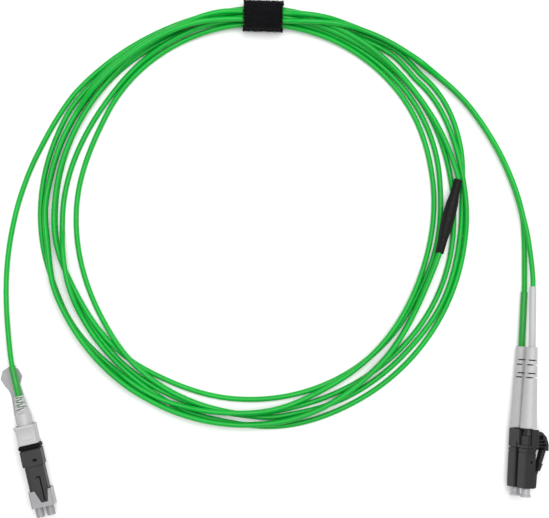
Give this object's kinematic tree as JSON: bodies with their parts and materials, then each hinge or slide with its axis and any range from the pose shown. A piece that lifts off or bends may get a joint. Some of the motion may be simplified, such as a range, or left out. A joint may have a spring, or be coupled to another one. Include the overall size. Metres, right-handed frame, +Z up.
{
  "type": "fiber optic patch cord",
  "caption": "Duplex fibre optic patch cord in a tied flat coil, from a clipped pair of LC plugs with latches to a slim push-pull plug with a pull tab.",
  "frame": {"origin": "on the table, under the middle of the box around the two ends' plugs", "axes": "+X from the push-pull plug to the LC plugs, +Y from the plugs towards the coil, +Z up from the table"},
  "size_m": [0.1881, 0.1782, 0.0131],
  "materials": {
    "green_jacket": "smooth satin cable jacket",
    "green_sleeve": "shrunk sleeve, semi-gloss",
    "white_sleeve": "shrunk sleeve, satin",
    "white_plastic": "soft moulded plastic",
    "clear_plastic": "milky translucent",
    "cap_plastic": "milky soft plastic",
    "black_plastic": "fine moulded texture",
    "black_rubber": "smooth rubber",
    "black_heat_shrink": "shrunk tube, dull",
    "black_fabric": "hook-and-loop pile",
    "zirconia": "polished ceramic",
    "steel": "turned metal"
  },
  "bodies": {
    "cord_and_plugs": {"sff_boot": "white_plastic", "sff_crimp_ring": "steel", "sff_rear_body": "black_plastic", "sff_inner_housing": "black_plastic", "sff_1_spring": "steel", "sff_2_spring": "steel", "sff_sleeve": "green_sleeve", "lc_a_housing": "black_plastic", "lc_a_rear_body": "black_plastic", "lc_a_crimp_ring": "steel", "lc_a_boot": "white_plastic", "lc_a_spring": "steel", "lc_b_housing": "black_plastic", "lc_b_rear_body": "black_plastic", "lc_b_crimp_ring": "steel", "lc_b_boot": "white_plastic", "lc_b_spring": "steel", "lc_duplex_clip": "black_plastic", "lc_a_sleeve": "green_sleeve", "lc_b_sleeve": "white_sleeve", "left_lead": "green_jacket", "leg_a_lead": "green_jacket", "leg_b_lead": "green_jacket", "breakout_tube": "black_heat_shrink", "coil": "green_jacket", "hook_and_loop_strap": "black_fabric"},
    "lc_trigger": {"lc_trigger": "black_plastic"},
    "lc_a_latch": {"lc_a_latch": "black_plastic"},
    "lc_b_latch": {"lc_b_latch": "black_plastic"},
    "lc_a_ferrule": {"lc_a_ferrule": "zirconia", "lc_a_flange": "steel"},
    "lc_b_ferrule": {"lc_b_ferrule": "zirconia", "lc_b_flange": "steel"},
    "sff_1_ferrule": {"sff_1_ferrule": "zirconia", "sff_1_flange": "steel"},
    "sff_2_ferrule": {"sff_2_ferrule": "zirconia", "sff_2_flange": "steel"},
    "sff_release": {"sff_outer_housing": "black_plastic", "sff_rim": "black_rubber", "sff_collar": "white_plastic", "sff_pull_tab": "clear_plastic"},
    "lc_a_dust_cap": {"lc_a_dust_cap": "cap_plastic"},
    "lc_b_dust_cap": {"lc_b_dust_cap": "cap_plastic"},
    "sff_dust_cap": {"sff_dust_cap": "cap_plastic"}
  },
  "joints": [
    {"name": "trigger_press", "type": "hinge", "parent": "cord_and_plugs", "child": "lc_trigger", "pos_m": [0.08811, 0.00052, 0.0049], "axis": [-0.4245, -0.0233, -0.9051], "range_deg": [0, 10], "stiffness_Nm_per_rad": 0.002},
    {"name": "latch_a_flex", "type": "hinge", "parent": "cord_and_plugs", "child": "lc_a_latch", "pos_m": [0.08508, -0.01795, 0.00334], "axis": [0.4245, 0.0233, 0.9051], "range_deg": [0, 4.6]},
    {"name": "latch_b_flex", "type": "hinge", "parent": "cord_and_plugs", "child": "lc_b_latch", "pos_m": [0.08773, -0.0178, 0.009], "axis": [0.4245, 0.0233, 0.9051], "range_deg": [0, 4.6]},
    {"name": "lc_a_ferrule_float", "type": "slide", "parent": "cord_and_plugs", "child": "lc_a_ferrule", "axis": [0.0531, 0.9973, -0.0506], "range_m": [0, 0.001], "stiffness_N_per_m": 1500, "deforming": ["lc_a_spring"]},
    {"name": "lc_b_ferrule_float", "type": "slide", "parent": "cord_and_plugs", "child": "lc_b_ferrule", "axis": [0.0531, 0.9973, -0.0506], "range_m": [0, 0.001], "stiffness_N_per_m": 1500, "deforming": ["lc_b_spring"]},
    {"name": "sff_1_ferrule_float", "type": "slide", "parent": "cord_and_plugs", "child": "sff_1_ferrule", "axis": [-0.225, 0.9744, 0], "range_m": [0, 0.001], "stiffness_N_per_m": 1500, "deforming": ["sff_1_spring"]},
    {"name": "sff_2_ferrule_float", "type": "slide", "parent": "cord_and_plugs", "child": "sff_2_ferrule", "axis": [-0.225, 0.9744, 0], "range_m": [0, 0.001], "stiffness_N_per_m": 1500, "deforming": ["sff_2_spring"]},
    {"name": "release_slide", "type": "slide", "parent": "cord_and_plugs", "child": "sff_release", "axis": [-0.225, 0.9744, 0], "range_m": [0, 0.0018], "stiffness_N_per_m": 600},
    {"name": "lc_a_cap_pull", "type": "slide", "parent": "cord_and_plugs", "child": "lc_a_dust_cap", "axis": [-0.0531, -0.9973, 0.0506], "range_m": [0, 0.012]},
    {"name": "lc_b_cap_pull", "type": "slide", "parent": "cord_and_plugs", "child": "lc_b_dust_cap", "axis": [-0.0531, -0.9973, 0.0506], "range_m": [0, 0.012]},
    {"name": "sff_cap_pull", "type": "slide", "parent": "cord_and_plugs", "child": "sff_dust_cap", "axis": [0.225, -0.9744, 0], "range_m": [0, 0.014]}
  ],
  "couplings": [
    {"joint": "latch_a_flex", "follows": "trigger_press", "ratio": 0.45},
    {"joint": "latch_b_flex", "follows": "trigger_press", "ratio": 0.45}
  ]
}
